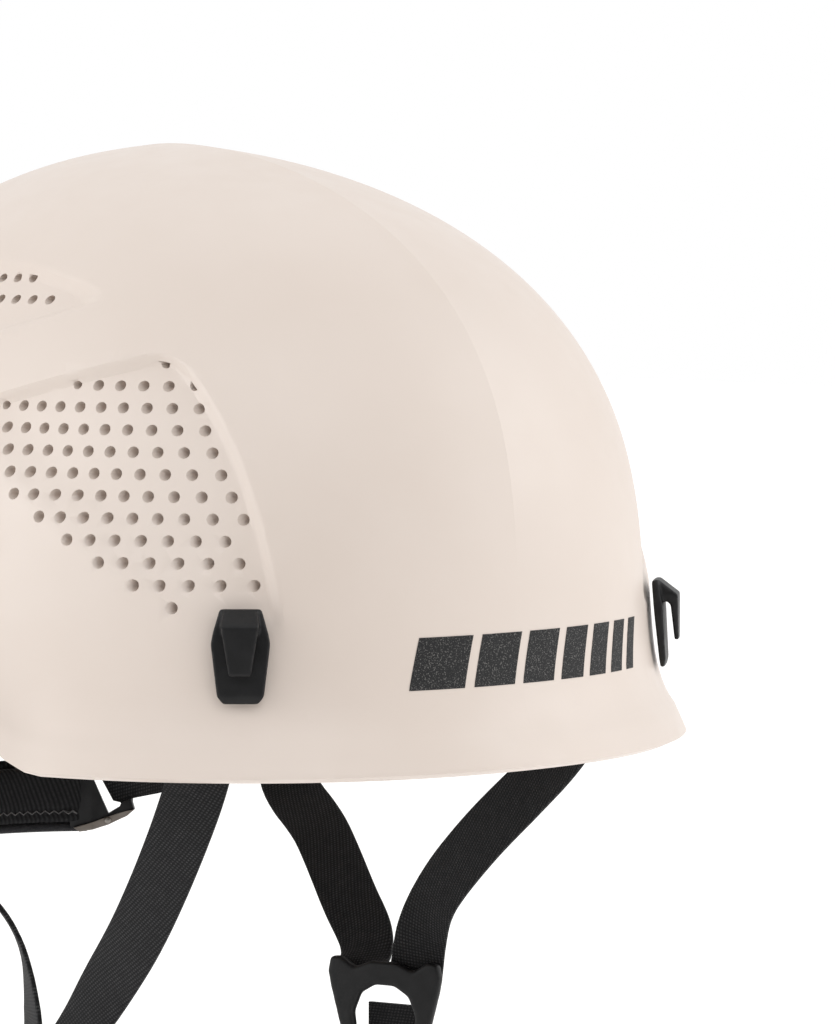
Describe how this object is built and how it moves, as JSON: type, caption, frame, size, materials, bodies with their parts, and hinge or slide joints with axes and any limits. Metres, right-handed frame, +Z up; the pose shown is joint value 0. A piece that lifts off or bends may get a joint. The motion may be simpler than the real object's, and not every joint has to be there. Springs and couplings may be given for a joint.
{
  "type": "climbing helmet",
  "caption": "Hard shell climbing helmet with perforated side panels, headlamp clips, a webbing cradle, a nape support and a chin strap with a side-release buckle.",
  "frame": {"origin": "centre of the plane that the shell's lower edge lies in, under the middle of the shell", "axes": "+Z up through the crown, -Y to the front, -X to the wearer's right"},
  "size_m": [0.2266, 0.2907, 0.3555],
  "materials": {
    "shell_abs": "satin moulded ABS, warm off-white",
    "black_plastic": "fine moulded texture, black",
    "webbing": "black woven polyester webbing",
    "band_textile": "black ribbed textile with a zigzag seam",
    "pad_fabric": "black brushed knit over foam",
    "elastic": "black woven elastic",
    "rivet_steel": "dull steel"
  },
  "bodies": {
    "helmet": {"shell": "shell_abs", "headlamp_clip_front_right": "black_plastic", "headlamp_clip_front_left": "black_plastic", "headlamp_clip_rear_right": "black_plastic", "headlamp_clip_rear_left": "black_plastic", "anchor_front_right": "black_plastic", "anchor_front_left": "black_plastic", "anchor_side_right": "black_plastic", "anchor_side_left": "black_plastic", "anchor_rear_right": "black_plastic", "anchor_rear_left": "black_plastic", "headband": "black_plastic", "headband_hanger_front_right": "black_plastic", "headband_hanger_front_left": "black_plastic", "headband_hanger_side_right": "black_plastic", "headband_hanger_side_left": "black_plastic", "nape_stud_right": "black_plastic", "nape_stud_left": "black_plastic", "strap_divider_right": "black_plastic", "strap_divider_left": "black_plastic", "crown_strap_diagonal_a": "webbing", "crown_strap_diagonal_b": "webbing", "crown_strap_side": "webbing", "front_strap_right": "webbing", "front_strap_left": "webbing", "rear_strap_right": "webbing", "rear_strap_left": "webbing", "crown_pad": "pad_fabric", "brow_pad": "pad_fabric"},
    "chin_strap": {"lower_strap_left": "webbing", "lower_strap_right": "webbing", "chin_buckle_female": "black_plastic"},
    "buckle_male": {"chin_buckle_male": "black_plastic", "strap_tail": "webbing"},
    "prong_front": {"buckle_prong_front": "black_plastic"},
    "prong_rear": {"buckle_prong_rear": "black_plastic"},
    "keeper": {"strap_keeper": "elastic"},
    "nape_support": {"nape_arm_right": "webbing", "nape_arm_left": "webbing", "nape_buckle_right": "black_plastic", "nape_buckle_left": "black_plastic", "nape_rivet_right": "rivet_steel", "nape_rivet_left": "rivet_steel", "nape_band": "band_textile", "nape_pad": "pad_fabric"}
  },
  "joints": [
    {"name": "chin_swing", "type": "hinge", "parent": "helmet", "child": "chin_strap", "pos_m": [0, -0.022, -0.101], "axis": [0.9891, 0, 0.1475], "range_deg": [-30, 22]},
    {"name": "buckle_release", "type": "slide", "parent": "chin_strap", "child": "buckle_male", "axis": [0.6, 0, 0.8], "range_m": [0, 0.026]},
    {"name": "prong_front_press", "type": "hinge", "parent": "buckle_male", "child": "prong_front", "pos_m": [0.0165, -0.0328, -0.168], "axis": [0.8, 0, -0.6], "range_deg": [0, 6], "stiffness_Nm_per_rad": 0.4},
    {"name": "prong_rear_press", "type": "hinge", "parent": "buckle_male", "child": "prong_rear", "pos_m": [0.0165, -0.0112, -0.168], "axis": [-0.8, 0, 0.6], "range_deg": [0, 6], "stiffness_Nm_per_rad": 0.4},
    {"name": "keeper_slide", "type": "slide", "parent": "buckle_male", "child": "keeper", "axis": [0.6, 0, 0.8], "range_m": [-0.005, 0.008]},
    {"name": "nape_tilt", "type": "hinge", "parent": "helmet", "child": "nape_support", "pos_m": [0, 0.015, 0.008], "axis": [1, 0, 0], "range_deg": [-5, 30]}
  ]
}
